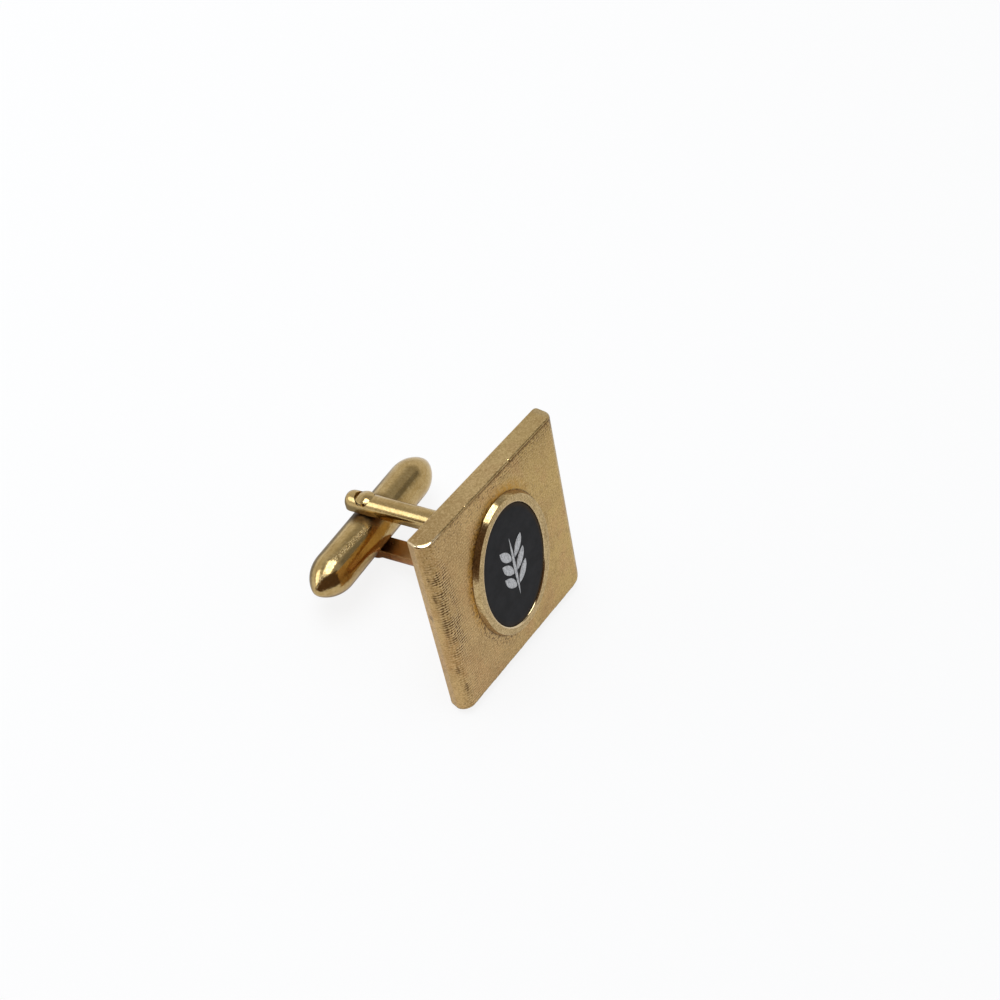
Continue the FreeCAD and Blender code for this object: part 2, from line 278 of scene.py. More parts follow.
def makeSatinGold(name, middle, axes, linen, hush):
    look = satinGold
    finish, tree, shader = startFinish(name)
    at = placed(tree, middle, axes)
    x, y, z = parted(tree, at)
    # Lines: sines across z and across x, swayed and broken up by noise, none on the back and the flat ends
    wave = 2 * math.pi / look["thread"]
    drift = times(tree, noise(tree, at, 0.9, 2.0), 9.0)
    sway = timesPlus(tree, noise(tree, at, 3.2, 2.0), 2.0, drift)
    breaks = noise(tree, stretched(tree, at, (1.6, 1.6, 3.4)), 1.0, 2.0)
    across = calc(tree, "SINE", timesPlus(tree, z, wave, sway))
    along = calc(tree, "SINE", timesPlus(tree, x, wave, sway))
    lined = timesPlus(tree, along, 0.16, timesPlus(tree, across, 0.34, 0.5))
    weave = calc(tree, "ADD", lined, timesPlus(tree, breaks, 1.2, -0.6))
    crisp = calc(tree, "ADD", lined, timesPlus(tree, breaks, 0.6, -0.3))
    reach = calc(tree, "ABSOLUTE", z)
    ends = span(tree, reach, *look["flatEnds"])
    ahead = span(tree, y, *look["frontTo"])
    woven = span(tree, y, *look["backFrom"], linen, 0.0)
    woven = times(tree, span(tree, reach, *look["wovenEnds"]), woven)
    # Tone: warmer to the right, rosy and dark clouds, small mottle, fine grain, greyer on the flat ends, and painted
    # shade:
    # darker at the upper left and right of the face and towards the left of the flat ends
    clouds = noise(tree, at, 0.32, 2.0, 0.5)
    blush = noise(tree, stretched(tree, at, (0.42, 0.42, 0.30), (0.4, 0.2, 0.9)), 1.0, 3.0, 0.6)
    mottle = noise(tree, at, 1.5, 5.0, 0.7, 0.3)
    grain = noise(tree, at, 6.5, 3.0, 0.7)
    fine = span(tree, y, *look["frontTo"], 0.42, 0.68)
    fine = times(tree, fine, span(tree, x, 2.0, 7.0, 1.0, 0.85))
    tone = tint(tree, span(tree, x, -6.0, 7.0), look["tone"], look["warm"])
    tone = tint(tree, span(tree, blush, 0.44, 0.66, 0.0, 0.6), tone, look["rosy"])
    tone = tint(tree, span(tree, reach, *look["flatEnds"], hush, 0.6), tone, look["hushed"])
    # Painted grey reflection along the right roll
    tone = tint(tree, span(tree, x, 8.2, 8.7, 0.0, 0.6), tone, look["paintedGreyReflection"])
    # Painted shade: darker towards the left of the flat ends, and on the upper right and upper left of the face
    paintedShadeLeftEnds = times(tree, ends, span(tree, x, 0.0, -9.0, 0.10, 0.58))
    paintedShadeUpperRight = times(tree, span(tree, z, 2.0, 8.0, 0.06, 0.24), span(tree, x, 0.0, 6.0))
    paintedShadeUpperLeft = times(tree, span(tree, z, 1.0, 7.0, 0.0, 0.22), span(tree, x, -3.5, -6.0))
    tone = tint(tree, most(tree, paintedShadeLeftEnds, paintedShadeUpperRight, paintedShadeUpperLeft), tone, look["deep"])
    tone = tint(tree, span(tree, clouds, 0.40, 0.70, 0.0, 0.28), tone, look["deep"])
    tone = tint(tree, span(tree, mottle, 0.50, 0.70, 0.0, 0.42), tone, look["deep"])
    tone = tint(tree, times(tree, span(tree, grain, 0.50, 0.64), fine), tone, look["deep"])
    tone = tint(tree, times(tree, span(tree, grain, 0.50, 0.36), fine), tone, look["pale"])
    # Lines of the weave darken to the left, up to the band of dirt
    wander = timesPlus(tree, z, -0.05, -9.3)
    overRoll = calc(tree, "SUBTRACT", x, y)
    offBand = calc(tree, "SUBTRACT", overRoll, wander)
    leftward = times(tree, span(tree, x, 4.0, -6.0, 0.35, 1.0), span(tree, offBand, -0.7, 0.1, 0.3, 1.0))
    leftward = times(tree, leftward, span(tree, z, 8.6, 5.6, 0.35, 1.0))
    tone = tint(tree, times(tree, span(tree, weave, 0.55, 0.1), leftward, woven, 0.45), tone, look["deep"])
    # Dirt in the weave: a band on the left roll that wanders inwards towards the bottom, darkest in its stains
    band = times(tree, span(tree, offBand, -0.4, 0.5), span(tree, offBand, 2.9, 1.5))
    upright = times(tree, span(tree, z, 7.9, 6.2), span(tree, z, -4.5, -1.5, 0.25, 1.0))
    blots = span(tree, noise(tree, stretched(tree, at, (1.0, 1.0, 0.7)), 1.2, 3.0, 0.6), 0.36, 0.54)
    crumbs = noise(tree, at, 3.6, 3.0, 0.65)
    band = times(tree, band, upright, blots, woven)
    tone = tint(tree, times(tree, band, span(tree, crisp, 0.60, 0.85, 0.0, 0.5)), tone, look["pale"])
    soil = times(tree, band, span(tree, crisp, 0.57, 0.27), span(tree, crumbs, 0.34, 0.54, 0.40, 1.0))
    ragged = timesPlus(tree, noise(tree, at, 2.4, 3.0, 0.7), 2.4, -1.2)
    for place, level, halfWidth, halfHeight in look["stains"]:
        aside = timesPlus(tree, overRoll, 1 / halfWidth, -place / halfWidth)
        above = timesPlus(tree, z, 1 / halfHeight, -level / halfHeight)
        away = calc(tree, "ADD", times(tree, aside, aside), times(tree, above, above))
        stain = span(tree, calc(tree, "ADD", away, ragged), 1.3, 0.1, 0.0, 0.75)
        soil = most(tree, soil, times(tree, stain, span(tree, crisp, 0.80, 0.35, 0.25, 1.0)))
    # Dirt left round the foot of the bezel, thickest on its left, and a painted amber reflection of the bezel wall
    # on its upper left
    ring = ovalReach(tree, at, *bezelSize)
    upperLeft = span(tree, calc(tree, "SUBTRACT", z, x), 0.0, 5.0, 0.0, 0.85)
    glow = times(tree, span(tree, ring, 1.20, 1.02), upperLeft, woven, span(tree, mottle, 0.34, 0.56))
    tone = tint(tree, glow, tone, look["paintedWallReflection"])
    foot = times(tree, span(tree, ring, 1.022, 1.004), span(tree, crumbs, 0.35, 0.55, 0.35, 0.8))
    strewn = times(tree, span(tree, ring, 1.22, 1.02), span(tree, crumbs, 0.50, 0.60, 0.0, 0.85))
    strewn = times(tree, strewn, span(tree, x, 2.0, -3.0, 0.25, 1.0))
    soil = most(tree, soil, foot, strewn)
    # Specks, dirty lines of the weave under the top edge, and a dirty line along it
    nearTop = times(tree, span(tree, z, 6.8, 9.2), ahead)
    speck = noise(tree, at, 4.2, 2.0, 0.5)
    specks = span(tree, timesPlus(tree, nearTop, 0.10, speck), 0.66, 0.74)
    soil = most(tree, soil, times(tree, specks, 0.60))
    rows = times(tree, span(tree, z, 7.9, 9.2), span(tree, x, -5.0, 2.0, 0.15, 0.85))
    rows = times(tree, rows, ahead, span(tree, crisp, 0.50, 0.22), span(tree, crumbs, 0.38, 0.56))
    brink = times(tree, span(tree, z, 9.26, 9.34), span(tree, x, -7.0, 1.0, 0.35, 0.90))
    brink = times(tree, brink, ahead, span(tree, crumbs, 0.30, 0.52, 0.35, 1.0))
    rust = times(tree, most(tree, rows, brink), woven)
    soil = times(tree, soil, woven)
    tone = tint(tree, rust, tint(tree, soil, tone, look["dirt"]), look["brown"])
    soil = most(tree, soil, rust)
    # Worn edges are polished, and a painted highlight makes the rubbed corner and the inner lip of the rim paler
    worn = put(tree, "Attribute", attribute_name="edgeWear").outputs["Fac"]
    rubbed = times(tree, worn, span(tree, x, -6.9, -7.5, 0.0, 0.65 * linen))
    paintedLipHighlight = span(tree, ovalReach(tree, at, *inlaySize), 1.040, 1.012, 0.0, 1.0 - linen)
    paintedLipHighlight = times(tree, paintedLipHighlight, span(tree, x, 1.0, -2.0, 0.25, 0.9))
    tone = tint(tree, most(tree, rubbed, paintedLipHighlight), tone, look["paintedHighlight"])
    swing = look["roughSwing"]
    rough = timesPlus(tree, mottle, swing, look["roughness"] - swing / 2)
    gloss = timesPlus(tree, mottle, swing, look["wornRoughness"] - swing / 2)
    rough = timesPlus(tree, worn, calc(tree, "SUBTRACT", gloss, rough), rough)
    # Relief: lines, grain and dirt, with a brushed back, all flatter where it is worn
    brushed = noise(tree, stretched(tree, at, (0.7, 1.0, 9.0)), 1.0, 3.0, 0.6)
    brushed = times(tree, brushed, span(tree, y, *look["backFrom"], 0.0, 1.2))
    height = timesPlus(tree, crisp, band, weave)
    height = timesPlus(tree, height, woven, timesPlus(tree, grain, 0.6, brushed))
    height = timesPlus(tree, soil, -0.8, height)
    height = times(tree, height, timesPlus(tree, worn, -0.7, 1.0))
    endFinish(tree, shader, look, tone, rough, height)
    return finish


# Polished gold: bright, with fine scratches, painted shade on the toggle by the arms, and brown tarnish on the lower
# arm and inside the fork
polishedGold = {
    "tone": colour(194, 166, 112),
    "deep": colour(160, 130, 74),
    "pale": colour(226, 202, 156),
    "tarnish": colour(176, 106, 58),
    # painted shade where the toggle turns under the arms
    "soil": colour(58, 36, 20),
    "scratchTurns": ((0.2, 0.3, 0.5), (0.9, -0.4, 1.6), (-0.5, 0.8, 2.6)),
    "scratchFineness": (4.0, 14.0, 14.0),
    "windingStart": 0.66,  # radians off the top, at the pin
    "winding": 0.045,  # radians per mm
    "roughness": 0.09,
    "bump": 0.4,
    "bumpDepth": 0.00002,
}


def makePolishedGold(name, middle, axes, rubbed, hammered, tarnished=0.0, scored=0.0, armShadeStrength=0.0):
    look = polishedGold
    finish, tree, shader = startFinish(name)
    at = placed(tree, middle, axes)
    x, y, z = parted(tree, at)
    clouds = noise(tree, at, 0.5, 4.0, 0.6)
    # Scratches: noise drawn out along three directions and cut to short thin lines
    lines = None
    for turn in look["scratchTurns"]:
        streak = noise(tree, stretched(tree, at, look["scratchFineness"], turn), 1.0, 1.0)
        thin = span(tree, streak, 0.58, 0.68)
        lines = thin if lines is None else most(tree, lines, thin)
    # They gather in one line along the toggle that winds slowly round it, x from the pin and angle from the top
    angle = calc(tree, "ARCTAN2", y, z)
    winding = timesPlus(tree, x, look["winding"], look["windingStart"])
    wound = calc(tree, "ABSOLUTE", calc(tree, "ADD", angle, winding))
    gathered = times(tree, span(tree, wound, 0.22, 0.05), span(tree, x, -1.4, -2.2))
    where = span(tree, noise(tree, at, 0.8, 2.0), 0.45, 0.65, 0.03, 0.25)
    where = most(tree, where, times(tree, gathered, scored))
    lines = times(tree, lines, where)
    dents = noise(tree, at, 5.0, 3.0, 0.6)
    ripple = noise(tree, at, 2.4, 2.0)
    # Tarnish low on the fork and inside it, and painted shade where the toggle turns against the arms
    reach = calc(tree, "ABSOLUTE", z)
    patchy = span(tree, clouds, 0.35, 0.60, tarnished * 0.6, tarnished)
    low = times(tree, span(tree, z, -1.8, -2.3), patchy)
    inside = span(tree, reach, 2.20, 2.06, 0.0, tarnished * 0.6)
    beside = calc(tree, "SQRT", calc(tree, "ADD", times(tree, x, x), times(tree, y, y)))
    beside = timesPlus(tree, clouds, 0.6, beside)
    paintedArmShade = times(tree, span(tree, beside, 2.8, 1.7), span(tree, reach, 0.8, 1.5))
    paintedArmShade = times(tree, paintedArmShade, span(tree, reach, 2.30, 2.06, 0.0, armShadeStrength))
    pores = noise(tree, at, 4.5, 4.0, 0.7)
    tone = tint(tree, span(tree, clouds, 0.40, 0.70, 0.0, 0.6), look["tone"], look["deep"])
    tone = tint(tree, span(tree, pores, 0.50, 0.66, 0.0, 0.4), tone, look["deep"])
    tone = tint(tree, span(tree, pores, 0.50, 0.34, 0.0, 0.25), tone, look["pale"])
    tone = tint(tree, times(tree, lines, 0.40), tone, look["pale"])
    tone = tint(tree, most(tree, low, inside), tone, look["tarnish"])
    tone = tint(tree, paintedArmShade, tone, look["soil"])
    rough = timesPlus(tree, clouds, 0.10, look["roughness"] - 0.06 + rubbed)
    rough = timesPlus(tree, lines, 0.20, timesPlus(tree, pores, 0.03, rough))
    rough = timesPlus(tree, inside, 0.25, timesPlus(tree, low, 0.15, rough))
    rough = timesPlus(tree, paintedArmShade, 0.30, rough)
    height = timesPlus(tree, lines, -0.9, times(tree, dents, 0.5))
    height = timesPlus(tree, ripple, hammered, height)
    endFinish(tree, shader, look, tone, rough, height)
    return finish


# Black inlay: dense charcoal with faint clouds and dust, and a painted brown reflection of the gold rim along its
# edge
blackInlay = {
    "tone": colour(34, 34, 35),
    "pale": colour(45, 45, 47),
    "dust": colour(90, 88, 84),
    "paintedRimReflection": colour(66, 49, 26),
    "roughness": 0.36,
    "specular": 0.05,
    "bump": 0.12,
    "bumpDepth": 0.00001,
}


def makeBlackInlay(name, middle, axes):
    look = blackInlay
    finish, tree, shader = startFinish(name)
    at = placed(tree, middle, axes)
    clouds = noise(tree, at, 0.7, 4.0, 0.6)
    dust = span(tree, noise(tree, at, 9.0, 2.0), 0.72, 0.80)
    tone = tint(tree, span(tree, clouds, 0.3, 0.7), look["tone"], look["pale"])
    tone = tint(tree, times(tree, dust, 0.25), tone, look["dust"])
    # Painted brown reflection of the gold rim along the edge, stronger to the right
    rightward = span(tree, parted(tree, at)[0], -3.0, 3.0, 0.2, 0.8)
    edge = span(tree, ovalReach(tree, at, *inlaySize), 0.90, 0.99)
    tone = tint(tree, times(tree, edge, rightward), tone, look["paintedRimReflection"])
    rough = timesPlus(tree, clouds, 0.14, look["roughness"] - 0.07)
    shader.inputs["Specular IOR Level"].default_value = look["specular"]
    endFinish(tree, shader, look, tone, rough, noise(tree, at, 3.0, 3.0), metallic=0.0)
    return finish


# Silver of the sprig: brushed along the leaves, with a fine grain
sprigSilver = {
    "tone": colour(206, 206, 206),
    "deep": colour(150, 150, 152),
    "roughness": 0.42,
    "bump": 0.3,
    "bumpDepth": 0.00001,
}


def makeSprigSilver(name, middle, axes):
    look = sprigSilver
    finish, tree, shader = startFinish(name)
    at = placed(tree, middle, axes)
    grain = noise(tree, at, 13.0, 3.0, 0.6)
    brushed = noise(tree, stretched(tree, at, (14.0, 2.0, 2.0), (0.0, 0.6, 0.0)), 1.0, 3.0)
    mix = timesPlus(tree, brushed, 0.5, times(tree, grain, 0.5))
    tone = tint(tree, span(tree, mix, 0.42, 0.62), look["tone"], look["deep"])
    rough = timesPlus(tree, grain, 0.2, look["roughness"] - 0.1)
    endFinish(tree, shader, look, tone, rough, mix)
    return finish


# Spring strip: rolled steel, drawn lines along the toggle
springSteel = {
    "tone": colour(168, 170, 174),
    "deep": colour(118, 120, 126),
    "roughness": 0.32,
    "bump": 0.3,
    "bumpDepth": 0.00001,
}


def makeSpringSteel(name, middle, axes):
    look = springSteel
    finish, tree, shader = startFinish(name)
    at = placed(tree, middle, axes)
    drawn = noise(tree, stretched(tree, at, (0.4, 12.0, 12.0)), 1.0, 3.0)
    tone = tint(tree, span(tree, drawn, 0.35, 0.65), look["tone"], look["deep"])
    rough = timesPlus(tree, drawn, 0.2, look["roughness"] - 0.1)
    endFinish(tree, shader, look, tone, rough, drawn)
    return finish


plateGold = makeSatinGold("linenGold", faceMiddle, plateAxes, linen=1.0, hush=0.0)
rimGold = makeSatinGold("rimGold", faceMiddle, plateAxes, linen=0.0, hush=0.75)
forkGold = makePolishedGold("forkGold", pinMiddle, forkAxes, rubbed=0.04, hammered=0.6, tarnished=0.8)
pinGold = makePolishedGold("pinGold", pinMiddle, forkAxes, rubbed=0.02, hammered=2.6, tarnished=0.8)
toggleGold = makePolishedGold("toggleGold", pinMiddle, forkAxes, rubbed=0.02, hammered=1.6, scored=1.0, armShadeStrength=0.85)
inlayBlack = makeBlackInlay("inlayBlack", faceMiddle, plateAxes)
silver = makeSprigSilver("sprigSilver", faceMiddle, plateAxes)
steel = makeSpringSteel("springSteel", pinMiddle, forkAxes)
print("finishes made")

# Face plate: the section seen from above is carried up the plate. Half a section runs along the front, round
# the roll (shoulder + r sin, roll - r cos), down the drafted side, round the back corner and along the back.
# At the top and bottom it is drawn in along its normals by a quarter circle, e (1 - cos t), whose radius e
# grows from the front to the sides and wavers along the front, as on a worn edge. The top left corner is rubbed:
# points beyond a wide cone, s hypot(x, y) + c z from its axis, are drawn back onto it. The bottom edge rises
# in a quarter circle, r (1 - sqrt(1 - u^2)), at the right corner.
plate = {
    "width": 18.4,
    "height": 19.2,
    "thickness": stand["plateThickness"],
    "roll": 1.1,
    "draft": (0.25, 0.06),  # left, right
    "backEdges": (0.18, 0.42),  # rounding of the back corners, left, right
    "backTop": 0.144,  # rounding of the flat top and bottom at the back
    "frontEdge": 0.15,  # rounding of the flat top and bottom
    "topSides": (0.20, 0.36),  # grows to this on the left and right sides
    "bottomSides": (0.12, 0.30),
    "edgeGrowth": 1.5,  # power of the growth
    "edgeFade": 0.7,  # behind the roll, over which it falls to backTop
    "roundCorner": 1.8,
    "cornerRun": 2.2,  # radii up the plate, over which the round corner fades
    "waver": 0.11,  # share of the front edge's rounding
    "waves": ((1.9, 0.7, 1.0), (4.7, 2.0, 0.7), (9.1, 0.0, 0.6), (15.7, 1.0, 0.5)),  # rate, phase, share
    "nicks": ((-3.8, 0.10), (2.4, 0.16), (5.3, 0.06)),  # place along the top edge, depth
    "nickWidth": 0.10,
    "rubDirection": (-0.340, -0.360, 0.869),
    "rubRadius": 2.4,
    "rubDepth": 0.050,
}


def plateHalf(draft, bend):
    # Half a section, with rows set close beside each change of curve
    halfWidth = plate["width"] / 2
    shoulder = halfWidth - plate["roll"]
    backX = halfWidth - draft
    sideTurn = math.atan2(draft, plate["thickness"] - plate["roll"])
    cornerX = backX - bend * (1 - math.sin(sideTurn)) / math.cos(sideTurn)
    front = np.concatenate([np.linspace(0, shoulder - 0.06, 140), [shoulder]])
    roll = np.linspace(0, math.pi / 2, 41)[1:]
    side = np.linspace(0, 1, 7)[1:-1]
    corner = np.linspace(sideTurn, math.pi / 2, 8)
    rest = np.concatenate([cornerX - np.array([0.06, 0.3, 0.6, 0.9, 1.2, 1.6, 2.0, 4.0, 6.0]), [0.0]])
    normalX = np.concatenate([
        0 * front, np.sin(roll), np.full(len(side), math.cos(sideTurn)), np.cos(corner), 0 * rest,
    ])
    normalY = np.concatenate([
        0 * front - 1, -np.cos(roll), np.full(len(side), math.sin(sideTurn)), np.sin(corner), 0 * rest + 1,
    ])
    sideEndX = cornerX + bend * math.cos(sideTurn)
    sideEndY = plate["thickness"] - bend + bend * math.sin(sideTurn)
    x = np.concatenate([
        front, shoulder + plate["roll"] * np.sin(roll), halfWidth + (sideEndX - halfWidth) * side,
        cornerX + bend * np.cos(corner), rest,
    ])
    y = np.concatenate([
        0 * front, plate["roll"] * (1 - np.cos(roll)), plate["roll"] + (sideEndY - plate["roll"]) * side,
        plate["thickness"] - bend + bend * np.sin(corner), 0 * rest + plate["thickness"],
    ])
    return np.stack([x, y, normalX, normalY])


def plateEnd(sides, nicks):
    # Half of the plate, from its middle to one flat end
    leftHalf, rightHalf = map(plateHalf, plate["draft"], plate["backEdges"])
    mirrored = leftHalf[:, -2::-1] * np.array([[-1], [1], [-1], [1]])
    x, y, normalX, normalY = np.concatenate([rightHalf, mirrored], axis=1)
    sideEdge = np.where(x < 0, *sides)
    rolled = plate["frontEdge"] + (sideEdge - plate["frontEdge"]) * np.abs(normalX) ** plate["edgeGrowth"]
    behind = np.clip((y - plate["roll"]) / plate["edgeFade"], 0, 1)
    edge = rolled + (plate["backTop"] - rolled) * behind
    front = normalY < -0.99
    waver = sum(share * np.sin(rate * x + phase) for rate, phase, share in plate["waves"])
    edge = edge * (1 + plate["waver"] * waver * front)
    for place, depth in nicks:
        edge = edge + depth * np.exp(-((x - place) / plate["nickWidth"]) ** 2) * front
    turn = np.linspace(0, math.pi / 2, 16)
    half = plate["height"] / 2
    below = np.linspace(plate["roundCorner"] * plate["cornerRun"], 0.06, 24)
    flat = np.zeros(len(below) + 1)
    inset = np.concatenate([flat, 1 - np.cos(turn), [1.0, 1.0]])[:, None] * edge
    # Two more rows on the flat end keep its shading flat
    inset[-2] += 0.02
    inset[-1] += 0.14 - 0.11 * behind
    level = half - np.concatenate([flat, 1 - np.sin(turn), [0.0, 0.0]])[:, None] * edge
    level[0] = 0.0
    level[1:len(flat)] = half - edge - below[:, None]
    wear = np.concatenate([flat, np.sin(2 * turn).clip(0, 1) ** 0.5, [0.0, 0.0]])
    form = np.stack([x - inset * normalX, y - inset * normalY, level], axis=-1)
    return form, wear[:, None] * np.clip(1.2 - normalY, 0, 1)


def plateGrid():
    upper, upperWear = plateEnd(plate["topSides"], plate["nicks"])
    lower, lowerWear = plateEnd(plate["bottomSides"], ())
    rub = np.array(plate["rubDirection"])
    steep = math.hypot(rub[0], rub[1])
    axis = np.array([plate["roll"] - plate["width"] / 2, plate["roll"]])
    axis = axis + (plate["roll"] - plate["rubRadius"]) * rub[:2] / steep
    away = upper[..., :2] - axis
    radius = np.linalg.norm(away, axis=-1, keepdims=True)
    outward = np.where(upper[..., :1] < axis[0], steep * radius + rub[2] * upper[..., 2:], 0)
    cone = np.concatenate([steep * away / np.maximum(radius, 0.1), rub[2] + 0 * radius], axis=-1)
    upper = upper - np.clip(outward - (outward.max() - plate["rubDepth"]), 0, None) * cone
    corner = plate["roundCorner"]
    across = np.clip((lower[..., 0] - plate["width"] / 2) / corner + 1, 0, 0.99)
    near = np.clip((lower[..., 2] - plate["height"] / 2) / (corner * plate["cornerRun"]) + 1, 0, 1)
    lower[..., 2] -= corner * (1 - np.sqrt(1 - across ** 2)) * near
    lower = lower * np.array([1, 1, -1])
    return np.concatenate([lower[::-1], upper[1:]]), np.concatenate([lowerWear[::-1], upperWear[1:]])


plateForm, plateWear = plateGrid()
buildPiece("facePlate", [ontoPlate(plateForm)], plateGold, "face", ["face_plate"],
           capped=True, wear=plateWear)

# Bezel: a closed profile of inset and height is carried round an ellipse,
# (half width - inset) cos, (half height - inset) sin. Both walls lean towards the flat rim.
bezel = {
    "width": bezelSize[0],
    "height": bezelSize[1],
    "rim": (bezelSize[0] - inlaySize[0]) / 2,
    "rise": 0.5,
    "wallSlope": 22.0,  # degrees off square to the face
    "edge": 0.10,
    "sink": 0.16,  # depth of the inner wall that shows
    "innerSlope": 20.0,
}


def ovalRings(halfWidth, halfHeight, depth, steps):
    angle = around(steps)
    x = halfWidth[:, None] * np.cos(angle)
    z = halfHeight[:, None] * np.sin(angle)
    return np.stack([x, depth[:, None] + 0 * x, z], axis=-1)


quarter = np.linspace(0, math.pi / 2, 9)
slope = math.radians(bezel["wallSlope"])
innerLean = math.tan(math.radians(bezel["innerSlope"]))
bend = np.linspace(slope, math.pi / 2, 9)
rimFront = -bezel["rise"]
edgeMiddle = bezel["rise"] - bezel["edge"]
wallTop = edgeMiddle + bezel["edge"] * math.sin(slope)
shoulderInset = math.tan(slope) * wallTop + bezel["edge"] * math.cos(slope)
innerTop = bezel["rim"] - innerLean * bezel["sink"]
# Profile from the foot of the outer wall over the rim to the inlay and back underneath
rimInset = np.concatenate([
    [0.06, 0.0, 0.02], shoulderInset - bezel["edge"] * np.cos(bend), [shoulderInset + 0.03, innerTop - 0.07],
    [innerTop - 0.06, innerTop - 0.02, innerTop + innerLean * 0.03, bezel["rim"], bezel["rim"], 0.06],
])
rimDepth = np.concatenate([
    [0.0, 0.0, -0.02 / math.tan(slope)], -edgeMiddle - bezel["edge"] * np.sin(bend), [rimFront, rimFront],
    [rimFront, rimFront + 0.008, rimFront + 0.03, rimFront + bezel["sink"], 0.0, 0.0],
])
rimWear = np.concatenate([np.ones(3), np.linspace(1, 0.6, 9), [0.0, 0.0, 0.0, 0.8], np.ones(4)])
bezelGrid = ovalRings(bezel["width"] / 2 - rimInset, bezel["height"] / 2 - rimInset, rimDepth, 256)
buildPiece("bezelRing", [ontoPlate(bezelGrid)], rimGold, "face", ["bezel_ring"], crease=50.0,
           wear=rimWear[:, None] * np.ones(bezelGrid.shape[1]))

# Inlay: a flat oval with a softened edge, as a profile from its middle out, over the edge and back underneath
inlay = {
    "width": bezel["width"] - 2 * bezel["rim"] - 2 * inlayGap,
    "height": bezel["height"] - 2 * bezel["rim"] - 2 * inlayGap,
    "front": rimFront + inlaySink,
    "edge": 0.05,
}
edgeShare = inlay["edge"] / (inlay["width"] / 2)
inlayShare = np.concatenate([[0.0, 0.3, 0.6, 0.9], 1 - edgeShare * (1 - np.sin(quarter)), [1.0, 0.0]])
inlayDepth = np.concatenate([
    np.full(4, inlay["front"]), inlay["front"] + inlay["edge"] * (1 - np.cos(quarter)), [0.0, 0.0],
])
inlayGrid = ovalRings(inlay["width"] / 2 * inlayShare, inlay["height"] / 2 * inlayShare, inlayDepth, 192)
buildPiece("inlayStone", [ontoPlate(inlayGrid)], inlayBlack, "face", ["inlay"])

# Sprig: a blade between two arcs. Its half width along the length is sqrt(r^2 - (t - 1/2)^2 l^2) - (r - w/2),
# and its section is a low pillow with a groove along the middle.
sprig = {
    "stemWidth": 0.34,
    "stemFoot": 1.2,
    "stemPoint": 2.4,
    "leafLength": 2.2,
    "leafWidth": 0.86,
    "leafPairs": 3,
    "leafAngle": 36.0,  # degrees from the stem
    "leafSpacing": 0.02,
    "leafGap": 0.06,
    "rise": 0.06,
    "vein": 0.35,  # share of the rise taken by the middle groove
    "veinWidth": 0.16,  # share of the half width
    "pillow": 0.55,  # power of the section
    "taper": 0.3,  # share of the width below which the rise falls off
}


def blade(length, width, vein):
    along = (0.5 - 0.5 * np.cos(np.linspace(0, math.pi, 41)))[:, None]
    bow = (length ** 2 / 4 + width ** 2 / 4) / width
    half = np.sqrt(bow ** 2 - (along - 0.5) ** 2 * length ** 2) - (bow - width / 2)
    turn = around(48)
    across = np.cos(turn)
    crown = np.sign(np.sin(turn)) * np.abs(np.sin(turn)) ** sprig["pillow"]
    fall = np.minimum(1, half / (sprig["taper"] * width))
    groove = 1 - vein * np.exp(-(across / sprig["veinWidth"]) ** 2)
    lift = sprig["rise"] * np.where(crown > 0, crown * fall * groove, 0)
    x = half * across
    return np.stack([x, inlay["front"] - lift, along * length + 0 * x], axis=-1)


pitch = (sprig["leafWidth"] + sprig["leafSpacing"]) / math.sin(math.radians(sprig["leafAngle"]))
lowest = -pitch * sprig["leafPairs"] / 2
stemLength = sprig["stemFoot"] + pitch * (sprig["leafPairs"] - 1) + sprig["stemPoint"]
stemGrid = blade(stemLength, sprig["stemWidth"], 0.0) + np.array([0, 0, lowest - sprig["stemFoot"]])
buildPiece("sprigStem", [ontoPlate(stemGrid)], silver, "face", ["motif_stem"], crease=60.0)

leafGrids = []
for pair in range(sprig["leafPairs"]):
    for side in (-1, 1):
        lean = side * math.radians(sprig["leafAngle"])
        turned = np.array([[math.cos(lean), 0, -math.sin(lean)], [0, 1, 0], [math.sin(lean), 0, math.cos(lean)]])
        aside = side * (sprig["stemWidth"] / 2 + sprig["leafGap"])
        leafGrid = blade(sprig["leafLength"], sprig["leafWidth"], sprig["vein"]) @ turned
        leafGrids.append(ontoPlate(leafGrid + np.array([aside, 0, lowest + pair * pitch])))
buildPiece("sprigLeaves", leafGrids, silver, "face", ["motif_leaves"], crease=60.0)

# Foot: a rounded rectangle carried back from the plate, flared by solder where it starts and rounded where it ends
foot = {
    "width": 3.2,
    "height": 8.0,
    "corner": 0.8,
    "thickness": 0.9,
    "edge": 0.2,
    "solder": 0.14,
}


def roundedRectangle(width, height, corner, inset, depth):
    angle = around(96)
    sideX = np.sign(np.round(np.cos(angle), 9)) * (width / 2 - corner)
    sideZ = np.sign(np.round(np.sin(angle), 9)) * (height / 2 - corner)
    x = sideX + (corner - inset[:, None]) * np.cos(angle)
    z = sideZ + (corner - inset[:, None]) * np.sin(angle)
    return np.stack([x, depth[:, None] + 0 * x, z], axis=-1)


footInset = np.concatenate([
    -foot["solder"] * (1 - np.sin(quarter)), foot["edge"] * (1 - np.cos(quarter)), [foot["edge"] + 0.05],
])
footDepth = plate["thickness"] + np.concatenate([
    foot["solder"] * (1 - np.cos(quarter)), foot["thickness"] - foot["edge"] * (1 - np.sin(quarter)),
    [foot["thickness"]],
])
footGrid = roundedRectangle(foot["width"], foot["height"], foot["corner"], footInset, footDepth)
buildPiece("forkFoot", [ontoPlate(footGrid)], forkGold, "face", ["fork_foot"], capped=True)

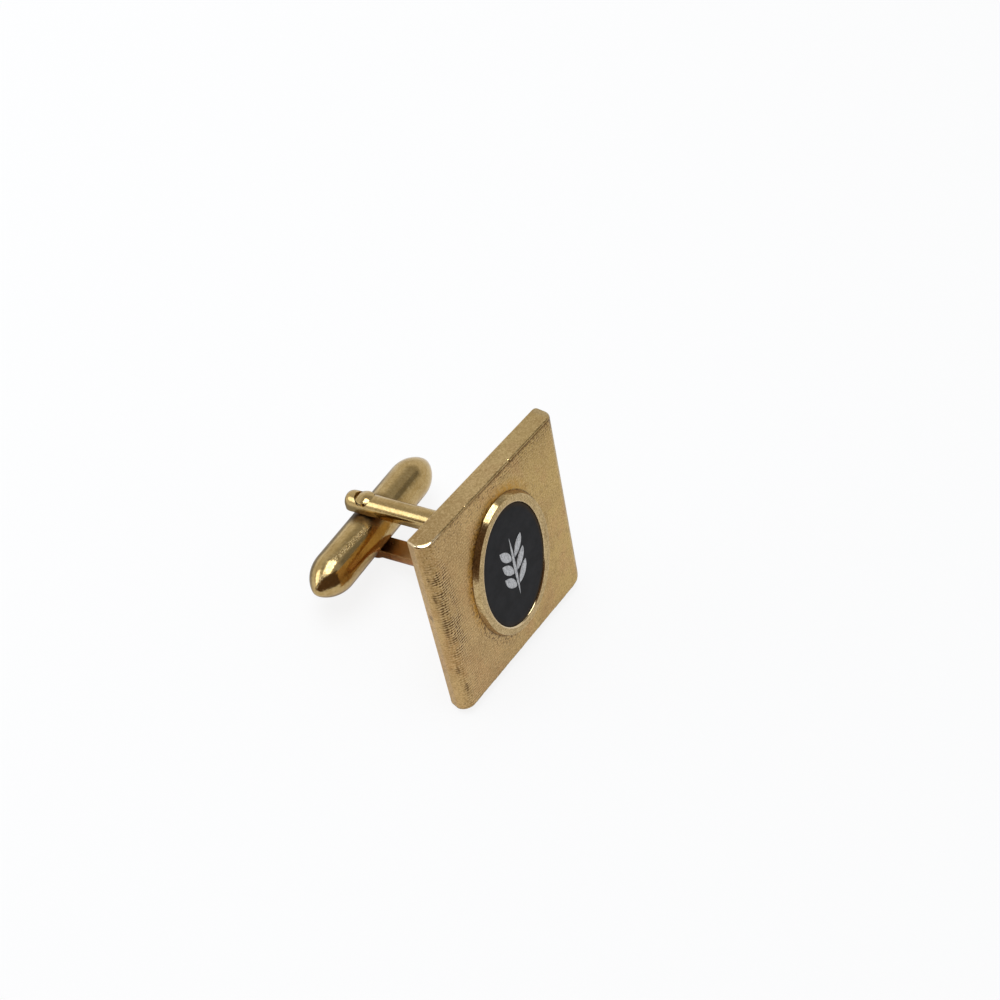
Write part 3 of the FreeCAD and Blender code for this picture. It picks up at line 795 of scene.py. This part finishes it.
# Arm: a section with a flat inside, straight sides and a half-round crown is carried along the fork. Past the pin
# its half width falls as (r^3 - t^3)^(1/3), which makes the blunt round end. A spot face for the pin head is let
# into the crown, and the lower end is flat where it rests on the table.
arm = {
    "inside": 2.05,  # from the middle of the toggle
    "side": 0.5,
    "round": 0.95,
    "overhang": 1.05,
    "corner": 0.08,
    "root": 0.55,  # from the back of the plate, inside the foot
    "rootInFoot": 0.35,
    "spotRadius": 0.92,
    "spotFloor": 2.95,
    "spotEdge": 0.03,
    "solder": 0.22,
    "table": 0.002,  # height of the flat on which the lower arm rests
}


def armGrid(side):
    root = -stand["pinReach"] + arm["root"]
    shank = np.concatenate([np.linspace(0, 0.8, 17) + root, np.linspace(root + 1.2, -1.3, 12)])
    aroundPin = np.linspace(-1.2, arm["overhang"], 150)
    dome = arm["overhang"] + arm["round"] * np.sin(np.linspace(0, math.pi / 2, 48)[1:])
    along = np.concatenate([shank, aroundPin, dome])[:, None]
    past = np.clip(along - arm["overhang"], 0, arm["round"])
    half = np.maximum(arm["round"] ** 3 - past ** 3, 0) ** (1 / 3)
    # Solder widens the root as a quarter circle above the foot
    above = np.clip(along - (root + arm["rootInFoot"]), 0, arm["solder"])
    flare = arm["solder"] - np.sqrt(arm["solder"] ** 2 - (arm["solder"] - above) ** 2)
    corner = np.minimum(arm["corner"], 0.5 * half)
    shoulder = arm["inside"] + arm["side"]
    bottom = arm["inside"] - flare
    small = np.linspace(0, math.pi / 2, 6)[None, :]
    big = np.linspace(math.pi / 2, 0, 60)[None, :]
    # Right half of the section, from the middle of the flat inside to the crown
    x = np.concatenate([
        0 * half, 0.5 * half, half - corner + corner * np.sin(small) + flare, half + flare + 0 * small[:, :1],
        (half + flare) * np.sin(big),
    ], axis=1)
    z = np.concatenate([
        bottom, bottom, bottom + corner * (1 - np.cos(small)), 0 * half + shoulder - 0.02,
        shoulder + (half + flare) * np.cos(big),
    ], axis=1)
    distance = np.hypot(x, along)
    sunk = np.clip((arm["spotRadius"] - distance) / arm["spotEdge"], 0, 1)
    z = np.where(z > arm["spotFloor"], z + (arm["spotFloor"] - z) * sunk * sunk * (3 - 2 * sunk), z)
    x = np.concatenate([x, -x[:, -2::-1]], axis=1)
    z = np.concatenate([z, z[:, -2::-1]], axis=1)
    points = ontoFork(np.stack([x, along + 0 * x, side * z], axis=-1))
    points[..., 2] = np.maximum(points[..., 2], arm["table"] * millimetre)
    return points


buildPiece("upperArm", [armGrid(1)], forkGold, "face", ["upper_arm"], capped=True)
buildPiece("lowerArm", [armGrid(-1)], forkGold, "face", ["lower_arm"], capped=True)

# Pin: turned about its axis, with a low domed head at each end and a squared middle, half the square's side
# divided by max(|cos|, |sin|)
pin = {
    "radius": 0.65,
    "square": 0.9,
    "squareLength": 2.36,
    "headRadius": 0.87,
    "headTop": 3.55,
    "headEdge": 0.07,
    "headDome": 0.24,
    "headSeat": 2.95,
}


def pinGrid():
    head, edge, seat = pin["headRadius"], pin["headEdge"], pin["headSeat"]
    squareEnd = pin["squareLength"] / 2
    rimLevel = pin["headTop"] - pin["headDome"]
    domeRadius = np.linspace(0, head - edge, 12)
    domeLevel = pin["headTop"] - pin["headDome"] * (domeRadius / domeRadius[-1]) ** 2
    radius = np.concatenate([
        domeRadius, head - edge * (1 - np.sin(quarter[1:])), [head, head - 0.02, pin["radius"], pin["radius"]],
    ])
    level = np.concatenate([
        domeLevel, rimLevel - edge * (1 - np.cos(quarter[1:])), [seat + 0.02, seat, seat, squareEnd],
    ])
    angle = around(96)
    roundRadius = radius[:, None] + 0 * angle
    squared = pin["square"] / 2 / np.maximum(np.abs(np.cos(angle)), np.abs(np.sin(angle)))
    radii = np.concatenate([roundRadius, squared, squared, roundRadius[::-1]])
    levels = np.concatenate([level, [squareEnd, -squareEnd], -level[::-1]])
    return np.stack([radii * np.cos(angle), radii * np.sin(angle), levels[:, None] + 0 * radii], axis=-1)


buildPiece("pivotPin", [ontoFork(pinGrid())], pinGold, "face", ["pivot_pin"])

# Toggle: the barrel is two half tubes that meet in the middle and bow apart round the pin, where
# x = sqrt(hole^2 - (r sin)^2). Each tip is an arc that leaves the barrel smoothly and runs into a round nose.
toggle = {
    "radius": 1.95,
    "length": 18.2,
    "wall": 0.45,
    "tip": 3.0,
    "nose": 0.9,
    "spigot": 2.0,
    "hole": 0.69,
}
halfBarrel = toggle["length"] / 2 - toggle["tip"]
bore = toggle["radius"] - toggle["wall"]


def halfTube(side):
    angle = around(192)
    outward = np.concatenate([[0.0, 0.1, 0.3, 0.7], np.linspace(1.2, halfBarrel - 0.03, 10), [halfBarrel]])
    inward = outward[::-1]
    closing = np.linspace(bore, toggle["radius"], 6)[1:]  # wall of the pin hole, kept round
    x = np.concatenate([outward, inward, 0 * closing])[:, None]
    radius = np.concatenate([0 * outward + toggle["radius"], 0 * inward + bore, closing])[:, None]
    bow = np.sqrt(np.maximum(toggle["hole"] ** 2 - (radius * np.sin(angle)) ** 2, 0))
    x = x + bow * (1 - x / halfBarrel) ** 3
    points = np.stack([side * x, radius * np.sin(angle) + 0 * x, radius * np.cos(angle) + 0 * x], axis=-1)
    return ontoFork(points)


def tipGrid(side):
    noseBack = toggle["tip"] - toggle["nose"]
    flank = (noseBack ** 2 + toggle["radius"] ** 2 - toggle["nose"] ** 2) / (2 * (toggle["radius"] - toggle["nose"]))
    drop = flank - toggle["radius"]
    noseAngle = math.atan2(drop, noseBack)
    sweep = np.linspace(math.pi / 2, noseAngle, 40)
    cap = np.linspace(noseAngle, 0, 24)[1:]
    x = np.concatenate([
        [-toggle["spigot"], -toggle["spigot"], 0.0], flank * np.cos(sweep), noseBack + toggle["nose"] * np.cos(cap),
    ])[:, None]
    radius = np.concatenate([
        [0.0, bore, bore], flank * np.sin(sweep) - drop, toggle["nose"] * np.sin(cap),
    ])[:, None]
    angle = around(192)
    x = side * (halfBarrel + x) + 0 * angle
    return ontoFork(np.stack([x, radius * np.sin(angle), radius * np.cos(angle)], axis=-1))


buildPiece("toggleBarrel", [halfTube(1), halfTube(-1)], toggleGold, "toggle", ["toggle_barrel"])
buildPiece("toggleTipLeft", [tipGrid(-1)], toggleGold, "toggle", ["toggle_cap_left"])
buildPiece("toggleTipRight", [tipGrid(1)], toggleGold, "toggle", ["toggle_cap_right"])

spring = frame["nodes"]["detent_spring"]
spring.data.materials.clear()
spring.data.materials.append(steel)
print("pieces dressed")

# Floor and light. The cards can't be seen by the camera.
studio = {
    "floor": 3.0,  # metres across
    "floorTone": 0.88,
    "floorWhite": 0.86,  # share of plain white in what the camera sees
    "floorMirrored": 0.16,  # and in what the metal sees
    "low": 0.78,  # world at the horizon
    "high": 0.42,  # world from halfway up
    "rises": (0.35, 0.75),  # sines of the elevations between which it changes
    "gap": 0.25,  # dark patch high on the right
    "gapWay": (0.571, -0.231, 0.788),
    "gapReach": (14, 9),  # degrees from its middle, over which it begins
    "flag": 0.14,  # dark card and mat on the viewer's side
    "flagBearing": -150,  # degrees, middle of the card
    "flagWidth": 116,  # degrees
    "flagDistance": 0.50,  # metres
    "flagHeight": 0.46,
    "flagLean": 1.05,  # share of the height at which the card would close overhead
    "mat": 0.048,  # metres from the object to the mat
    "matBearings": (-210, -148),
    "matLevel": 0.0004,  # metres above the floor
    "pad": (-1.5, 15.0, 15.0, 14.0),  # mm, middle and half sizes of the shade behind the toggle
    "padLevel": 0.0002,
    "padTone": 0.36,
    "padEdge": 0.92,
    "aim": 0.008,  # metres up, where the lamps point
}
# Bearing and elevation in degrees, the rest in metres and watts
lamps = {
    "overheadLamp": {
        "azimuth": 106, "elevation": 71, "distance": 0.40, "width": 0.31, "height": 0.23,
        "power": 1.1, "tone": (0.94, 1.0, 1.08),
    },
    "backWindow": {
        "azimuth": 129, "elevation": 21, "distance": 0.45, "width": 0.30, "height": 0.17,
        "power": 0.30, "tone": (0.90, 1.0, 1.14),
    },
}


def grey(tone):
    return (tone, tone, tone, 1.0)


def makeFloor():
    half = studio["floor"] / 2
    corners = [(-half, -half, 0.0), (half, -half, 0.0), (half, half, 0.0), (-half, half, 0.0)]
    mesh = bpy.data.meshes.new("floor")
    mesh.from_pydata(corners, [], [(0, 1, 2, 3)])
    floor = addObject("floor", mesh)
    finish = bpy.data.materials.new("floorWhite")
    tree = emptyTree(finish)
    path = put(tree, "LightPath")
    mirrored = most(tree, path.outputs["Is Glossy Ray"], path.outputs["Is Transmission Ray"])
    seen = times(tree, path.outputs["Is Camera Ray"], studio["floorWhite"])
    share = most(tree, times(tree, mirrored, studio["floorMirrored"]), seen)
    matt = put(tree, "BsdfDiffuse", {"Color": grey(studio["floorTone"])})
    glow = put(tree, "Emission", {"Color": grey(1.0), "Strength": 1.0})
    mixed = put(tree, "MixShader", {0: share, 1: matt.outputs[0], 2: glow.outputs[0]})
    put(tree, "OutputMaterial", {"Surface": mixed.outputs[0]})
    mesh.materials.append(finish)


def makeWorld():
    world = bpy.data.worlds.new("studio")
    bpy.context.scene.world = world
    tree = emptyTree(world)
    way = put(tree, "TexCoord").outputs["Generated"]
    level = span(tree, parted(tree, way)[2], *studio["rises"], studio["low"], studio["high"])
    near = put(tree, "VectorMath", {0: way, 1: studio["gapWay"]}, operation="DOT_PRODUCT").outputs["Value"]
    shut = span(tree, near, *[math.cos(math.radians(value)) for value in studio["gapReach"]])
    level = timesPlus(tree, shut, calc(tree, "SUBTRACT", studio["gap"], level), level)
    glow = put(tree, "Background", {"Color": grey(1.0), "Strength": level})
    put(tree, "OutputWorld", {"Surface": glow.outputs[0]})


def makeCard(name, grid, shade, warmth, shadow):
    # A cloth that shows in the metal, and also dims the light where it casts a shadow. Warmth takes from its green
    # and more from its blue.
    mesh = bpy.data.meshes.new(name)
    mesh.from_pydata(grid.reshape(-1, 3).tolist(), [], gridQuads(grid)[1])
    finish, tree, shader = startFinish(name + "Cloth")
    weave = noise(tree, put(tree, "TexCoord").outputs["Object"], 40.0)
    first = (shade, shade * (1 - 0.42 * warmth), shade * (1 - 0.68 * warmth), 1.0)
    second = (shade * 1.2, shade * (1.2 - 0.50 * warmth), shade * (1.2 - 0.80 * warmth), 1.0)
    cloth = tint(tree, weave, first, second)
    tree.links.new(cloth, shader.inputs["Base Color"])
    shader.inputs["Roughness"].default_value = 0.9
    mesh.materials.append(finish)
    card = addObject(name, mesh)
    card.visible_camera = False
    card.visible_diffuse = shadow
    card.visible_shadow = shadow
    return tree, shader


def makeFlag():
    # The card stands in an arc and leans in towards its top; the mat is a flat sector before it.
    # Both are distance times (cos, sin) of the bearing.
    middle, width, height = studio["flagBearing"], studio["flagWidth"], studio["flagHeight"]
    bearing = np.radians(np.linspace(middle - width / 2, middle + width / 2, 25))[None, :]
    level = np.linspace(0, height, 9)[:, None]
    lean = np.sqrt(np.maximum(1 - (level / (height * studio["flagLean"])) ** 2, 0.02))
    near = studio["flagDistance"] * lean
    arc = np.stack([near * np.cos(bearing), near * np.sin(bearing), level + 0 * bearing], axis=-1)
    makeCard("flag", arc, studio["flag"], warmth=1.0, shadow=True)
    out = np.linspace(studio["mat"], studio["flagDistance"], 5)[:, None]
    bearing = np.radians(np.linspace(*studio["matBearings"], 17))[None, :]
    flat = np.stack([out * np.cos(bearing), out * np.sin(bearing), studio["matLevel"] + 0 * out * bearing], axis=-1)
    makeCard("mat", flat, studio["flag"], warmth=1.0, shadow=False)


def makePad():
    # A dark oval sheet behind the toggle, seen only in the metal, that stands in for the floor's shade there: share
    # times (half length cos, half width sin); it fades into the floor
    share = np.linspace(0.02, 1, 5)[:, None]
    turn = around(48)
    middleX, middleY, halfX, halfY = [value * millimetre for value in studio["pad"]]
    x = middleX + halfX * share * np.cos(turn)
    y = middleY + halfY * share * np.sin(turn)
    oval = np.stack([x, y, studio["padLevel"] + 0 * x], axis=-1)
    tree, shader = makeCard("pad", oval, studio["padTone"], warmth=0.0, shadow=False)
    links = {
        "Vector": put(tree, "TexCoord").outputs["Object"],
        "Location": (-middleX / halfX, -middleY / halfY, 0.0),
        "Scale": (1 / halfX, 1 / halfY, 0.0),
    }
    at = put(tree, "Mapping", links).outputs["Vector"]
    away = timesPlus(tree, noise(tree, at, 2.0), 0.2, lengthOf(tree, at))
    tone = tint(tree, span(tree, away, 0.55, 1.05), grey(studio["padTone"]), grey(studio["padEdge"]))
    tree.links.new(tone, shader.inputs["Base Color"])


def addLamp(name, azimuth, elevation, distance, width, height, power, tone):
    lamp = bpy.data.lights.new(name, "AREA")
    lamp.shape = "RECTANGLE"
    lamp.size = width
    lamp.size_y = height
    lamp.energy = power
    lamp.color = tone
    item = addObject(name, lamp)
    a, e = math.radians(azimuth), math.radians(elevation)
    toward = np.array([math.cos(e) * math.cos(a), math.cos(e) * math.sin(a), math.sin(e)])
    place = toward * distance + np.array([0.0, 0.0, studio["aim"]])
    side = np.array([-math.sin(a), math.cos(a), 0.0])
    rising = np.cross(toward, side)
    turn = Matrix([list(row) for row in np.array([side, rising, toward]).T]).to_4x4()
    turn.translation = place.tolist()
    item.matrix_world = turn
    item.visible_camera = False


makeFloor()
makeWorld()
makeFlag()
makePad()
for lampName, lampSizes in lamps.items():
    addLamp(lampName, **lampSizes)
bpy.context.scene.view_settings.view_transform = "Standard"

# Camera at the photograph's viewing angle
view = {
    "place": (-67.229, -27.940, 113.996),  # mm
    "turn": (35.0524, -10.7606, -55.1027),  # degrees
    "lens": 53.90,
    "sensor": 36.0,
    "nearest": 0.001,  # metres
}
cameraData = bpy.data.cameras.new("camera")
cameraData.lens = view["lens"]
cameraData.sensor_width = view["sensor"]
cameraData.clip_start = view["nearest"]
camera = addObject("camera", cameraData)
camera.location = [value * millimetre for value in view["place"]]
camera.rotation_euler = [math.radians(value) for value in view["turn"]]
bpy.context.scene.camera = camera
print("camera and light set")
